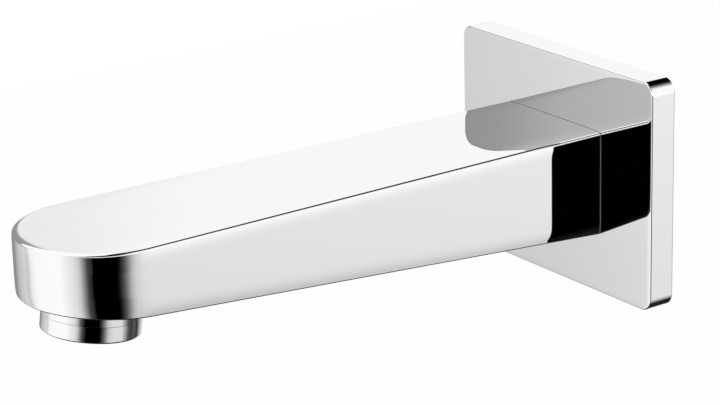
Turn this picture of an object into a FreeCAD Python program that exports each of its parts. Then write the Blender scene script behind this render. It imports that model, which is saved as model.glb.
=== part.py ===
import FreeCAD, Part
import math
import os

from FreeCAD import Placement, Rotation, Vector

# Wall-mounted bath spout. Millimetres, +Z up. The finished wall is the plane y = 0, the water inlet
# is on the Y axis and the spout reaches out along -Y.

# Wall plate: a shallow cast tray, open towards the wall
plate_width = 82.0
plate_height = 64.5
plate_depth = 8.0
plate_corner_radius = 3.0
plate_edge_chamfer = 0.6
plate_face_thickness = 2.5
plate_rim_thickness = 2.0
plate_hole_diameter = 26.4

# Foam gasket let into a step inside the rim of the plate
gasket_width = 3.0
gasket_thickness = 2.0

# Spout body: flat on top, widening from the wall to a half-round nose, underside rising to the nose.
# A shallow bevel runs round the tip and fades out along the sides.
reach = 175.0
root_width = 40.4
root_height = 29.5
tip_height = 16.2
top_above_inlet = 14.25
nose_radius = 22.5
bevel_run = 2.0
bevel_drop = 0.45
top_edge_radius = 0.3
bottom_edge_chamfer = 0.5

# Hollow of the casting
side_wall = 3.2
top_wall = 3.0
bottom_wall = 3.0
hollow_corner_radius = 4.0
root_block_length = 30.0
throat_diameter = 14.0

# Slip socket in the root of the body, with the ring that centres the plate
socket_diameter = 20.0
socket_depth = 26.5
register_diameter = 26.0
register_length = 1.0

# Wall nipple: parallel pipe thread G 1/2 into the wall, hexagon, and a plug with two seals and a flat
inlet_thread_diameter = 20.955
inlet_thread_length = 15.0
thread_relief_depth = 0.8
inlet_bore_diameter = 12.0
nipple_chamfer = 1.0
hexagon_across_flats = 24.0
hexagon_thickness = 3.8
plug_diameter = 19.6
plug_length = 27.7
seal_section = 2.5
seal_groove_width = 3.1
seal_groove_bottom = 14.9
first_seal_from_end = 3.4
seal_spacing = 4.4
lock_flat_length = 6.0
lock_flat_depth = 1.0

# Flat washer between the hexagon and the face of the wall fitting
face_washer_diameter = 26.0
face_washer_thickness = 1.5

# Grub screw under the root, M5
grub_diameter = 5.0
grub_length = 5.2
grub_from_plate = 12.0
grub_key = 2.5
grub_key_depth = 2.4

# Low-head cap screws that hold the plate to the root of the body, M4
plate_screw_diameter = 4.0
plate_screw_length = 10.0
plate_screw_head = 7.0
plate_screw_head_height = 2.8
plate_screw_key = 2.5
plate_screw_key_depth = 1.6
plate_screw_across = 31.0
plate_screw_up = 18.0
tapped_hole_spare = 1.5

# Outlet: boss under the nose with an M24 x 1 inner thread, tilted to throw the water off the wall
outlet_ahead_of_nose_centre = 3.75
outlet_diameter = 25.7
outlet_tilt_degrees = 8.2
boss_height = 4.7
boss_edge_chamfer = 0.3
outlet_thread_diameter = 24.0
outlet_thread_depth = 4.2
outlet_collar_diameter = 28.4
outlet_seat_thickness = 2.0
outlet_throat_diameter = 19.4

# Aerator housing: a chromed ring that screws into the boss
housing_height = 4.3
housing_edge_chamfer = 0.5
housing_bore_diameter = 21.0
housing_lip_thickness = 1.4
housing_mouth_diameter = 19.2

# What the aerator holds
aerator_washer_thickness = 1.5
aerator_washer_bore = 17.4
insert_diameter = 20.8
strainer_flange_thickness = 0.8
strainer_flange_diameter = 22.8
strainer_sides = 12
strainer_basket_diameter = 16.0
strainer_rise = 4.6
strainer_wall = 0.8
strainer_slot_width = 1.2
strainer_slot_height = 3.0
jet_disc_thickness = 1.5
jet_ring_diameter = 14.6
jet_hole_size = 1.2
jet_hole_count = 12
screen_thickness = 0.4
screen_pitch = 3.0
screen_wire = 0.8
grid_thickness = 2.0
grid_pitch = 3.1
grid_web = 0.6
insert_wall = 1.5
rib_thickness = 1.0

# Running and assembly clearances
thread_clearance = 0.1
slip_clearance = 0.1
seam = 0.05

# Places worked out from the sizes above
front_y = -plate_depth
tip_y = -reach
nose_centre_y = tip_y + nose_radius
top_z = top_above_inlet
root_bottom_z = top_z - root_height
underside_slope = (root_height - tip_height) / (reach - plate_depth)
underside_angle = math.atan(underside_slope)
block_end_y = front_y - root_block_length
outlet_y = nose_centre_y - outlet_ahead_of_nose_centre
hexagon_back_y = -face_washer_thickness
hexagon_front_y = hexagon_back_y - hexagon_thickness
plug_end_y = hexagon_front_y - plug_length
socket_end_y = front_y - socket_depth
grub_y = front_y - grub_from_plate
far = 4 * reach

# Stations along the outlet axis, measured outwards from the underside
seat_at = -outlet_thread_depth
collar_at = seat_at - outlet_seat_thickness
flange_at = seat_at + aerator_washer_thickness
housing_top_at = flange_at + strainer_flange_thickness
jet_disc_end_at = housing_top_at + jet_disc_thickness
housing_shoulder_at = boss_height + seam
rim_at = housing_shoulder_at + housing_height
lip_at = rim_at - housing_lip_thickness
grid_at = lip_at - grid_thickness
lower_screen_at = grid_at - screen_thickness
upper_screen_at = lower_screen_at - screen_thickness


def underside_z(y):
    """Height of the body's underside at a distance from the wall."""
    return root_bottom_z + underside_slope * (front_y - y)


def along_y(radius, y_start, y_end, x=0.0, z=0.0):
    """Round bar parallel to the inlet."""
    start = Vector(x, max(y_start, y_end), z)
    return Part.makeCylinder(radius, abs(y_end - y_start), start, Vector(0, -1, 0))


def down(radius, start, end):
    """Round bar along the outlet axis, from one station to another, before it is placed."""
    return Part.makeCylinder(radius, end - start, Vector(0, 0, -start), Vector(0, 0, -1))


def tube_down(outer, inner, start, end):
    """Ring along the outlet axis. Radii."""
    return down(outer, start, end).cut(down(inner, start - 1, end + 1))


def at_outlet(shape):
    """Puts a shape that was drawn on the Z axis onto the outlet axis."""
    turn = Rotation(Vector(1, 0, 0), -outlet_tilt_degrees)
    placed = shape.copy()
    placed.Placement = Placement(Vector(0, outlet_y, underside_z(outlet_y)), turn).multiply(placed.Placement)
    return placed


def block(x_size, z_size, y_start, y_end, radius):
    """Rectangular block along Y with rounded corners, centred on the inlet axis."""
    length = abs(y_end - y_start)
    box = Part.makeBox(x_size, length, z_size, Vector(-x_size / 2, min(y_start, y_end), -z_size / 2))
    corners = [e for e in box.Edges if abs(e.tangentAt(e.FirstParameter).y) > 0.99]
    return box.makeFillet(radius, corners)


def hexagon(across_flats, length):
    """Hexagonal bar up the Z axis from the origin."""
    outline = polygon(regular_corners(6, across_flats / math.sqrt(3)))
    return Part.Face(outline).extrude(Vector(0, 0, length))


def hexagon_along_y(across_flats, y_start, y_end):
    """Hexagonal bar parallel to the inlet, with a flat on top."""
    bar = hexagon(across_flats, abs(y_end - y_start))
    bar.Placement = Placement(Vector(0, max(y_start, y_end), 0), Rotation(Vector(1, 0, 0), 90))
    return bar


def plan_outline(z, root_y, half_root, radius):
    """Outline of the spout from above: straight sides that open out and run into a half-round nose."""
    root = Vector(half_root, root_y, z)
    to_root = math.hypot(half_root, root_y - nose_centre_y)
    flare = math.asin(radius / to_root) - math.atan2(half_root, root_y - nose_centre_y)
    shoulder = Vector(radius * math.cos(flare), nose_centre_y + radius * math.sin(flare), z)
    tip = Vector(0, nose_centre_y - radius, z)
    right = Part.LineSegment(root, shoulder)
    nose = Part.Arc(shoulder, tip, mirrored(shoulder))
    left = Part.LineSegment(mirrored(shoulder), mirrored(root))
    base = Part.LineSegment(mirrored(root), root)
    return Part.Wire([right.toShape(), nose.toShape(), left.toShape(), base.toShape()])


def mirrored(point):
    """The same point on the left half."""
    return Vector(-point.x, point.y, point.z)


def below_plane(offset):
    """Everything under the plane of the underside moved up by offset."""
    lift = offset / math.cos(underside_angle)
    near, away = reach, -2 * reach
    near_z, away_z = underside_z(near) + lift, underside_z(away) + lift
    points = [Vector(-reach, y, z) for y, z in [(near, near_z), (away, away_z), (away, -far), (near, -far)]]
    return Part.Face(Part.makePolygon(points + points[:1])).extrude(Vector(2 * reach, 0, 0))


def body_block():
    """Outer form of the spout with its shallow bevel round the tip and softened edges."""
    bevel_z = top_z - bevel_drop
    outline = Part.Face(plan_outline(bevel_z, front_y, root_width / 2, nose_radius))
    lower = outline.extrude(Vector(0, 0, -2 * root_height))
    upper = outline.extrude(Vector(0, bevel_run, bevel_drop))
    past_root = Part.makeBox(2 * reach, reach, root_height, Vector(-reach, front_y, 0))
    solid = lower.fuse(upper).cut([below_plane(0), past_root])
    bottom_edges = [e for e in solid.Edges if lies_on_underside(e)]
    solid = solid.makeChamfer(bottom_edge_chamfer, bottom_edges)
    top_edges = [e for e in solid.Edges if e.BoundBox.ZMin > top_z - 1e-6 and e.BoundBox.YMin < front_y - 1]
    return solid.makeFillet(top_edge_radius, top_edges)


def lies_on_underside(edge):
    """True for the long edges round the underside, which leaves out the one against the plate."""
    middle = edge.valueAt((edge.FirstParameter + edge.LastParameter) / 2)
    ends = [v.Point for v in edge.Vertexes]
    on_plane = all(abs(p.z - underside_z(p.y)) < 1e-4 for p in ends + [middle])
    return on_plane and middle.y < front_y - 1


def hollow():
    """Inside of the casting, with a wall left all round and a solid root block."""
    outline = plan_outline(top_z - top_wall, front_y, root_width / 2 - side_wall, nose_radius - side_wall)
    core = Part.Face(outline).extrude(Vector(0, 0, -2 * root_height))
    block_corner = Vector(-reach, block_end_y, -2 * root_height)
    core = core.cut(Part.makeBox(2 * reach, reach, 3 * root_height, block_corner))
    uprights = [e for e in core.Edges
                if abs(e.tangentAt(e.FirstParameter).z) > 0.99 and e.BoundBox.YMax > block_end_y - 0.01]
    core = core.makeFillet(hollow_corner_radius, uprights)
    return core.cut(below_plane(bottom_wall))


def plate_screw_places():
    """X and Z of the four screws in the plate."""
    half_across, half_up = plate_screw_across / 2, plate_screw_up / 2
    return [(x, z) for z in (half_up, -half_up) for x in (-half_across, half_across)]


def spout_body():
    """Cast brass spout: hollow body, socket for the nipple, boss for the aerator."""
    boss = down(outlet_diameter / 2, -bottom_wall / 2, boss_height)
    boss_rim = [e for e in boss.Edges if e.BoundBox.ZMax < -boss_height + 1e-6]
    boss = boss.makeChamfer(boss_edge_chamfer, boss_rim)
    collar = down(outlet_collar_diameter / 2, collar_at, -bottom_wall / 2)
    bore = down(outlet_thread_diameter / 2, seat_at, boss_height + 1)
    throat = down(outlet_throat_diameter / 2, collar_at - 1, seat_at + 1)
    solid = body_block().cut(hollow())
    solid = solid.fuse([at_outlet(boss), at_outlet(collar)])
    solid = solid.fuse(along_y(register_diameter / 2, front_y + register_length, front_y - 1))
    solid = solid.cut([at_outlet(bore), at_outlet(throat)])
    socket = along_y(socket_diameter / 2, front_y + register_length + 1, socket_end_y)
    waterway = along_y(throat_diameter / 2, socket_end_y + 1, block_end_y - 1)
    grub_hole = Part.makeCylinder(grub_diameter / 2, root_height, Vector(0, grub_y, -root_height))
    tapped_depth = plate_screw_length - plate_face_thickness + tapped_hole_spare
    tapped = [along_y(plate_screw_diameter / 2, front_y + 1, front_y - tapped_depth, x, z)
              for x, z in plate_screw_places()]
    return solid.cut([socket, waterway, grub_hole] + tapped).removeSplitter()


def wall_plate():
    """Cast plate with a stepped recess behind, a hole for the nipple and four screw holes."""
    solid = block(plate_width, plate_height, 0, front_y, plate_corner_radius)
    front_edges = [e for e in solid.Edges if e.BoundBox.YMax < front_y + 1e-6]
    solid = solid.makeChamfer(plate_edge_chamfer, front_edges)
    step_width = plate_width - 2 * plate_rim_thickness
    step_height = plate_height - 2 * plate_rim_thickness
    step_radius = plate_corner_radius - plate_rim_thickness
    step = block(step_width, step_height, 1, -gasket_thickness, step_radius)
    floor_y = front_y + plate_face_thickness
    recess = block(step_width - 2 * gasket_width, step_height - 2 * gasket_width, 1, floor_y, step_radius)
    solid = solid.cut([step, recess])
    solid = solid.cut(along_y(plate_hole_diameter / 2, 1, front_y - 1))
    for x, z in plate_screw_places():
        hole = along_y(plate_screw_diameter / 2 + slip_clearance, floor_y + 1, front_y - 1, x, z)
        solid = solid.cut(hole)
    return solid


def plate_gasket():
    """Closed-cell rubber frame that seals the plate to the wall."""
    gap = 2 * (plate_rim_thickness + seam)
    width, height = plate_width - gap, plate_height - gap
    radius = plate_corner_radius - plate_rim_thickness
    outer = block(width, height, 0, -gasket_thickness, radius)
    inner = block(width - 2 * gasket_width, height - 2 * gasket_width, 1, -gasket_thickness - 1, radius)
    return outer.cut(inner)


def wall_nipple():
    """Turned brass nipple: pipe thread and its relief, hexagon, plug with seal grooves and a flat."""
    thread = along_y(inlet_thread_diameter / 2, inlet_thread_length, hexagon_back_y)
    thread_end = [e for e in thread.Edges if e.BoundBox.YMin > inlet_thread_length - 1e-6]
    thread = thread.makeChamfer(nipple_chamfer, thread_end)
    plug = along_y(plug_diameter / 2, hexagon_front_y, plug_end_y)
    head = hexagon_along_y(hexagon_across_flats, hexagon_back_y, hexagon_front_y)
    solid = thread.fuse([head, plug])
    for y in seal_places():
        solid = solid.cut(groove(y, seal_groove_width, seal_groove_bottom / 2))
    relief_radius = inlet_thread_diameter / 2 - thread_relief_depth
    solid = solid.cut(groove(hexagon_back_y / 2, face_washer_thickness, relief_radius))
    flat_z = lock_flat_depth - plug_diameter / 2
    flat_start = Vector(-plug_diameter / 2, grub_y - lock_flat_length / 2, flat_z - plug_diameter)
    below_flat = Part.makeBox(plug_diameter, lock_flat_length, plug_diameter, flat_start)
    solid = solid.cut(below_flat)
    return solid.cut(along_y(inlet_bore_diameter / 2, inlet_thread_length + 1, plug_end_y - 1))


def groove(y, width, bottom_radius):
    """Ring to cut from the nipple."""
    ring = along_y(plug_diameter, y + width / 2, y - width / 2)
    return ring.cut(along_y(bottom_radius, y + width, y - width))


def seal_places():
    """Y of the two seal rings on the plug, the first one nearest the water."""
    first = plug_end_y + first_seal_from_end
    return [first, first + seal_spacing]


def nipple_seal(y):
    """Square-section rubber ring between the groove and the socket."""
    outer, inner = socket_diameter / 2 - seam, seal_groove_bottom / 2 + seam
    half = seal_section / 2
    return along_y(outer, y + half, y - half).cut(along_y(inner, y + half + 1, y - half - 1))


def face_washer():
    """Flat washer against the face of the wall fitting."""
    ring = along_y(face_washer_diameter / 2, 0, hexagon_back_y)
    return ring.cut(along_y(inlet_thread_diameter / 2 + slip_clearance, 1, hexagon_back_y - 1))


def grub_screw():
    """Socket set screw whose end bears on the locking flat of the nipple."""
    end_z = lock_flat_depth - plug_diameter / 2
    radius = grub_diameter / 2 - thread_clearance
    screw = Part.makeCylinder(radius, grub_length, Vector(0, grub_y, end_z), Vector(0, 0, -1))
    key = hexagon(grub_key, grub_key_depth + 1)
    key.translate(Vector(0, grub_y, end_z - grub_length - 1))
    return screw.cut(key)


def plate_screw(x, z):
    """Cap screw from behind, through the plate into the root of the body."""
    seat_y = front_y + plate_face_thickness
    head_y = seat_y + plate_screw_head_height
    head = along_y(plate_screw_head / 2, head_y, seat_y, x, z)
    shank_radius = plate_screw_diameter / 2 - thread_clearance
    shank = along_y(shank_radius, seat_y + 1, seat_y - plate_screw_length, x, z)
    key = hexagon_along_y(plate_screw_key, head_y + 1, head_y - plate_screw_key_depth)
    key.translate(Vector(x, 0, z))
    return head.fuse(shank).cut(key)


def aerator_housing():
    """Chromed ring with a male thread above its shoulder and a lip that carries the insert."""
    ring = down(outlet_diameter / 2 - seam, housing_shoulder_at, rim_at)
    rim = [e for e in ring.Edges if e.BoundBox.ZMax < -rim_at + 1e-6]
    ring = ring.makeChamfer(housing_edge_chamfer, rim)
    thread = down(outlet_thread_diameter / 2 - thread_clearance, housing_top_at, housing_shoulder_at)
    solid = ring.fuse(thread)
    solid = solid.cut(down(housing_bore_diameter / 2, housing_top_at - 1, lip_at))
    return at_outlet(solid.cut(down(housing_mouth_diameter / 2, lip_at - 1, rim_at + 1)).removeSplitter())


def aerator_washer():
    """Flat rubber washer between the seat in the boss and the aerator."""
    outer = outlet_thread_diameter / 2 - thread_clearance - slip_clearance
    return at_outlet(tube_down(outer, aerator_washer_bore / 2, seat_at, flange_at))


def inlet_strainer():
    """Plastic basket that keeps grit out: twelve flat sides with a slot in each, on a flange."""
    flange = down(strainer_flange_diameter / 2, flange_at, housing_top_at)
    outer = basket(strainer_basket_diameter / 2, strainer_rise, 0)
    inner = basket(strainer_basket_diameter / 2 - strainer_wall, strainer_rise - strainer_wall,
                   2 * strainer_flange_thickness)
    slot_start = Vector(-strainer_basket_diameter / 2, -strainer_slot_width / 2, strainer_wall - flange_at)
    slot = Part.makeBox(strainer_basket_diameter, strainer_slot_width, strainer_slot_height, slot_start)
    slots = []
    for i in range(strainer_sides // 2):
        turned = slot.copy()
        turned.rotate(Vector(0, 0, 0), Vector(0, 0, 1), 360 / strainer_sides * (i + 0.5))
        slots.append(turned)
    return at_outlet(flange.fuse(outer).cut([inner] + slots))


def basket(radius, rise, drop):
    """Many-sided block from below the strainer's flange to a height above it."""
    outline = polygon(regular_corners(strainer_sides, radius))
    block_shape = Part.Face(outline).extrude(Vector(0, 0, rise + drop))
    block_shape.translate(Vector(0, 0, -flange_at - drop))
    return block_shape


def regular_corners(count, radius, x=0.0, y=0.0):
    """Corners of a regular polygon."""
    turns = [2 * math.pi * i / count for i in range(count)]
    return [(x + radius * math.cos(turn), y + radius * math.sin(turn)) for turn in turns]


def polygon(corners):
    """Closed outline on the ground plane."""
    points = [Vector(x, y, 0) for x, y in corners]
    return Part.makePolygon(points + points[:1])


def pierced_disc(radius, openings, start, end):
    """Disc with a pattern of openings, from one station along the outlet axis to another."""
    rim = Part.Wire(Part.makeCircle(radius))
    face = Part.makeFace([rim] + openings, "Part::FaceMakerBullseye")
    disc = face.extrude(Vector(0, 0, start - end))
    disc.translate(Vector(0, 0, -start))
    return disc


def jet_disc():
    """Plastic disc that splits the flow into thin jets, with a ring of six-sided holes."""
    places = regular_corners(jet_hole_count, jet_ring_diameter / 2)
    holes = [polygon(regular_corners(6, jet_hole_size / 2, x, y)) for x, y in places]
    return at_outlet(pierced_disc(insert_diameter / 2, holes, housing_top_at, jet_disc_end_at))


def mixing_chamber():
    """Plastic ring under the jet disc, with a cross that breaks up the jets."""
    radius = insert_diameter / 2
    ring = tube_down(radius, radius - insert_wall, jet_disc_end_at, upper_screen_at)
    span, height = insert_diameter - insert_wall, (upper_screen_at - jet_disc_end_at) / 2
    ribs = []
    for turn in (0, 90):
        rib = Part.makeBox(span, rib_thickness, height,
                           Vector(-span / 2, -rib_thickness / 2, -upper_screen_at))
        rib.rotate(Vector(0, 0, 0), Vector(0, 0, 1), turn)
        ribs.append(rib)
    return at_outlet(ring.fuse(ribs))


def screen(start, turn):
    """Stainless screen with square openings inside a solid edge."""
    half = (screen_pitch - screen_wire) / 2
    reach_of_openings = insert_diameter / 2 - insert_wall
    steps = int(reach_of_openings / screen_pitch)
    openings = []
    for column in range(-steps, steps + 1):
        for row in range(-steps, steps + 1):
            x, y = column * screen_pitch, row * screen_pitch
            if math.hypot(abs(x) + half, abs(y) + half) < reach_of_openings:
                openings.append(polygon([(x - half, y - half), (x + half, y - half),
                                         (x + half, y + half), (x - half, y + half)]))
    disc = pierced_disc(insert_diameter / 2, openings, start, start + screen_thickness)
    disc.rotate(Vector(0, 0, 0), Vector(0, 0, 1), turn)
    return at_outlet(disc)


def outlet_grid():
    """Plastic honeycomb that straightens the stream, standing on the lip of the housing."""
    cell_radius = (grid_pitch - grid_web) / math.sqrt(3)
    reach_of_cells = housing_mouth_diameter / 2 - grid_web
    steps = int(reach_of_cells / grid_pitch) + 1
    cells = []
    for row in range(-steps, steps + 1):
        for column in range(-steps, steps + 1):
            x = grid_pitch * row * math.sqrt(3) / 2
            y = grid_pitch * (column + row / 2)
            if math.hypot(x, y) + cell_radius < reach_of_cells:
                cells.append(polygon(regular_corners(6, cell_radius, x, y)))
    return at_outlet(pierced_disc(insert_diameter / 2, cells, grid_at, lip_at))


def pieces():
    """Every piece of the spout by name."""
    parts = {
        "spout_body": spout_body(),
        "wall_plate": wall_plate(),
        "plate_gasket": plate_gasket(),
        "wall_nipple": wall_nipple(),
        "face_washer": face_washer(),
        "grub_screw": grub_screw(),
        "aerator_housing": aerator_housing(),
        "aerator_washer": aerator_washer(),
        "inlet_strainer": inlet_strainer(),
        "jet_disc": jet_disc(),
        "mixing_chamber": mixing_chamber(),
        "upper_screen": screen(upper_screen_at, 45),
        "lower_screen": screen(lower_screen_at, 0),
        "outlet_grid": outlet_grid(),
    }
    for number, y in enumerate(seal_places(), 1):
        parts[f"nipple_seal_{number}"] = nipple_seal(y)
    for number, (x, z) in enumerate(plate_screw_places(), 1):
        parts[f"plate_screw_{number}"] = plate_screw(x, z)
    return parts


os.makedirs("parts", exist_ok=True)
for name, shape in pieces().items():
    solid = shape.Solids[0] if len(shape.Solids) == 1 else shape
    print(f"{name}: {len(shape.Solids)} solid, {shape.Volume / 1000:.2f} cm3, valid {shape.isValid()}")
    solid.exportStep(f"parts/{name}.step")
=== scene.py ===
import math

import bmesh
import bpy
from mathutils import Matrix, Vector


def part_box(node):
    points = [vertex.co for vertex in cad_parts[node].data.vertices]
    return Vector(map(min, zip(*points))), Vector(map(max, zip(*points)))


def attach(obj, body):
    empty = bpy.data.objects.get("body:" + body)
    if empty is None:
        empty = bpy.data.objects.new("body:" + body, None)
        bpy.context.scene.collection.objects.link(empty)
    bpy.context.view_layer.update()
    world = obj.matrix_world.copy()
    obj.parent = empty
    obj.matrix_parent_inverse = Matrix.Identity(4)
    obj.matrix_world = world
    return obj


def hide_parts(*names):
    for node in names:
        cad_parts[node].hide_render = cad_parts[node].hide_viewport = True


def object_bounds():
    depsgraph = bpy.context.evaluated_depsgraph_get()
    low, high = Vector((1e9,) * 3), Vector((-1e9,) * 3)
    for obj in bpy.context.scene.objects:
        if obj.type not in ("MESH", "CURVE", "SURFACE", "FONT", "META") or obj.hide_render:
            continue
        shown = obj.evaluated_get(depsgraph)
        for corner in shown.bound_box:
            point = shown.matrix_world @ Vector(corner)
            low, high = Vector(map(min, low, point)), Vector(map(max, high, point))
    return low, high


# Wall-mounted bath spout. The CAD frame is in metres; every new piece is drawn in millimetres and put
# into metres when it is finished. +Z is up, the finished wall is y = 0 and the spout reaches along -Y.
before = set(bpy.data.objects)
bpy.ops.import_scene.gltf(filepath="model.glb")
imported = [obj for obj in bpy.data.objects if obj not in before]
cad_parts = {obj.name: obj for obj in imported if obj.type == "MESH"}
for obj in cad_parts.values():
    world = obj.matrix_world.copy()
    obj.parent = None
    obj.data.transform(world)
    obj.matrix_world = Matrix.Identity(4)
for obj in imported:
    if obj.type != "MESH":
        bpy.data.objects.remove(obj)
cad_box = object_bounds()
MM = 0.001


def size_of(node):
    """Lowest and highest corner of a CAD node in millimetres."""
    low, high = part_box(node)
    return Vector(low) / MM, Vector(high) / MM


body_low, body_high = size_of("spout_body")
plate_low, plate_high = size_of("wall_plate")
nipple_low, nipple_high = size_of("wall_nipple")
gasket_low = size_of("plate_gasket")[0]
screw_low, screw_high = size_of("plate_screw_4")

# Spout body, millimetres. Of a crown or a blend, the run is how far it reaches in from the edge, and the
# drop is how far the surface falls on the way.
tip_y = body_low.y
front_y = plate_low.y
top_z = body_high.z
nose_radius = body_high.x
nose_centre_y = tip_y + nose_radius
root_half = 20.2
root_height = 29.5
root_bottom_z = top_z - root_height
tip_height = 16.2
underside_slope = (root_height - tip_height) / (front_y - tip_y)
top_edge_radius = 0.75
tip_blend_run = 2.9
tip_blend_drop = 0.65
top_crown_run = 4.4
top_crown_drop = 0.09
lid_crown_run = 9.5
lid_crown_drop = 0.21
bottom_edge_radius = 0.5
bottom_crown_run = 5.4
bottom_crown_drop = 0.15
root_edge_radius = 0.25
crown_power = 4

# Inside of the body and its outlet, millimetres
side_wall = 3.2
top_wall = 3.0
bottom_wall = 3.0
root_block_end_y = front_y - 30.0
socket_radius = 10.0
socket_end_y = front_y - 26.5
waterway_radius = 7.0
register_radius = 13.0
register_reach = 1.0
grub_radius = 2.5
grub_y = front_y - 12.0
outlet_y = nose_centre_y - 3.75
outlet_tilt = 8.2
boss_radius = 12.85
boss_height = 4.7
boss_edge_radius = 0.03
outlet_thread_radius = 12.0
outlet_thread_depth = 4.2
outlet_throat_radius = 9.7
outlet_collar_radius = 14.2
outlet_seat_thickness = 2.0

# Ring round the aerator, millimetres; stations along the outlet axis, outwards from the underside
ring_gap = 0.05
ring_start = boss_height + ring_gap
ring_end = ring_start + 4.3
ring_radius = boss_radius - 0.05
ring_edge_radius = 0.55
ring_thread_start = -1.9
ring_thread_radius = 11.9
ring_bore_radius = 10.5
ring_lip_start = ring_end - 1.4
ring_mouth_radius = 9.6
ring_mouth_edge = 0.3

# Wall plate, millimetres
plate_corner_radius = 3.8
plate_least_corner = 0.3
plate_edge_radius = 0.4
plate_crown_run = 2.2
plate_crown_drop = 0.03
plate_floor_y = front_y + 2.5
plate_rim = 2.0
recess_corner_radius = 1.0
gasket_width = 3.0
plate_hole_radius = 13.2
plate_screw_hole_radius = 2.1

# Wall nipple and its washer, millimetres; stations from the wall towards the nose
pipe_thread_radius = 10.4775
pipe_thread_pitch = 1.814
pipe_thread_depth = 1.162
pipe_thread_turns = 7.4
pipe_thread_lead = 0.9
pipe_thread_end = -nipple_high.y
thread_chamfer = 0.4
relief_radius = pipe_thread_radius - 0.8
hexagon_flats = 24.0
hexagon_start = 1.5
hexagon_end = 5.3
hexagon_chamfer_start = 0.3
hexagon_chamfer_out = 2.0
hexagon_chamfer_along = 1.1
plug_radius = 9.8
plug_end = -nipple_low.y
plug_chamfer = 0.6
seal_groove_radius = 7.45
seal_groove_width = 3.1
seal_stations = (plug_end - 7.8, plug_end - 3.4)
lock_flat_station = 20.0
lock_flat_length = 6.0
lock_flat_depth = 1.0
nipple_bore_radius = 6.0
bore_mouth_chamfer = 0.5
bore_end_chamfer = 0.4
face_washer_radius = 13.0
face_washer_clearance = 0.1
face_washer_edge = 0.25

# Corners of the pipe thread's section, in shares of its depth and of its pitch. Its foot lies a little
# inside the bar. At each end of the helix the thread fades out over a tenth of its length.
thread_section = ((-0.12, -0.5), (1.0, -0.1), (1.0, 0.1), (-0.12, 0.5))
thread_fade = 0.1
thread_least = 0.05

# Screws of the plate, millimetres; stations from the wall towards the nose
screws_across = abs(screw_low.x + screw_high.x)
screws_up = abs(screw_low.z + screw_high.z)
screw_head_radius = 3.5
screw_head_start = 2.7
screw_seat = 5.5
screw_shank_radius = 1.9
screw_end = 15.5
screw_edge = 0.35
screw_key = 2.5
screw_key_end = 4.3

# Inside of the aerator, millimetres; stations along the outlet axis
insert_radius = 10.4
upper_screen_start = 4.85
screen_thickness = 0.4
screen_rim = 1.5
screen_edge = 0.15
screen_hold = 0.3
screen_pitch = 0.8
screen_wire = 0.2
screen_wires = 24.0
grid_start = 5.65
grid_end = 7.65
grid_pitch = 3.1
grid_web = 0.6
grid_reach = 9.0
grid_flare = 0.18
grid_edge = 0.2
grid_rings = 4

# How far a cutter reaches past the face that it opens, and how far a flared one does
past = 1.0
just_past = 0.05

# Flats round a turned surface, more of them where it is large and seen, and steps along other curves.
# Those of the wires are few, because there are hundreds of bends.
nose_steps = 160
ring_steps = 160
boss_steps = 128
turned_steps = 96
waterway_steps = 64
small_steps = 48
screw_hole_steps = 32
thread_steps = 72
wire_steps = 5
wire_steps_per_cell = 4
edge_steps = 10
crown_steps = 9
lid_crown_steps = 14
plate_corner_steps = 18
recess_corner_steps = 6
ring_edge_steps = 8
boss_edge_steps = 6
small_edge_steps = 5
root_edge_steps = 4

# Edges that turn by more degrees than this stay sharp; the few sides of a wire are shaded round.
crease = 32
wire_crease = 50


def underside_z(y):
    """Height of the inclined underside at a distance from the wall."""
    return root_bottom_z + underside_slope * (front_y - y)


# Places along the outlet and the inlet; a turned piece is drawn along its own Z axis
in_place = Matrix.Identity(4)
outlet_place = (Matrix.Translation((0, outlet_y, underside_z(outlet_y)))
                @ Matrix.Rotation(-math.radians(outlet_tilt), 4, "X")
                @ Matrix.Rotation(math.pi, 4, "Y"))
inlet_place = Matrix.Rotation(math.radians(90), 4, "X")


# Mesh building


def mesh_piece(name, points, faces):
    """New object from points in millimetres and faces, with its normals outward."""
    mesh = bpy.data.meshes.new(name)
    mesh.from_pydata([tuple(point) for point in points], [], faces)
    work = bmesh.new()
    work.from_mesh(mesh)
    bmesh.ops.recalc_face_normals(work, faces=work.faces)
    work.to_mesh(mesh)
    work.free()
    piece = bpy.data.objects.new(name, mesh)
    bpy.context.scene.collection.objects.link(piece)
    return piece


def bake(piece):
    """Turns a piece and its modifiers into a plain mesh."""
    graph = bpy.context.evaluated_depsgraph_get()
    graph.update()
    done = bpy.data.meshes.new_from_object(piece.evaluated_get(graph))
    old = piece.data
    piece.modifiers.clear()
    piece.data = done
    done.name = piece.name
    bpy.data.meshes.remove(old)
    return piece


def combine(piece, operation, others):
    """Adds, cuts or keeps the overlap with other closed pieces, which are used up."""
    for other in others:
        change = piece.modifiers.new("combine", "BOOLEAN")
        change.operation = operation
        change.solver = "EXACT"
        change.object = other
        bake(piece)
        used = other.data
        bpy.data.objects.remove(other)
        bpy.data.meshes.remove(used)
    return piece


def lathe(name, profile, steps, place=in_place, closed=True):
    """Turned piece round the Z axis from a profile of (radius, height) points.

    A profile that isn't closed is the outside of a solid bar, whose two ends get a flat face.
    """
    points, faces = [], []
    count = len(profile)
    for i in range(steps):
        turn = 2 * math.pi * i / steps
        for radius, height in profile:
            points.append(place @ Vector((radius * math.cos(turn), radius * math.sin(turn), height)))
    for i in range(steps):
        here, there = i * count, (i + 1) % steps * count
        for k in range(count if closed else count - 1):
            nxt = (k + 1) % count
            faces.append((here + k, there + k, there + nxt, here + nxt))
    if not closed:
        faces.append(tuple(i * count for i in range(steps)))
        faces.append(tuple(i * count + count - 1 for i in reversed(range(steps))))
    return mesh_piece(name, points, faces)


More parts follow.
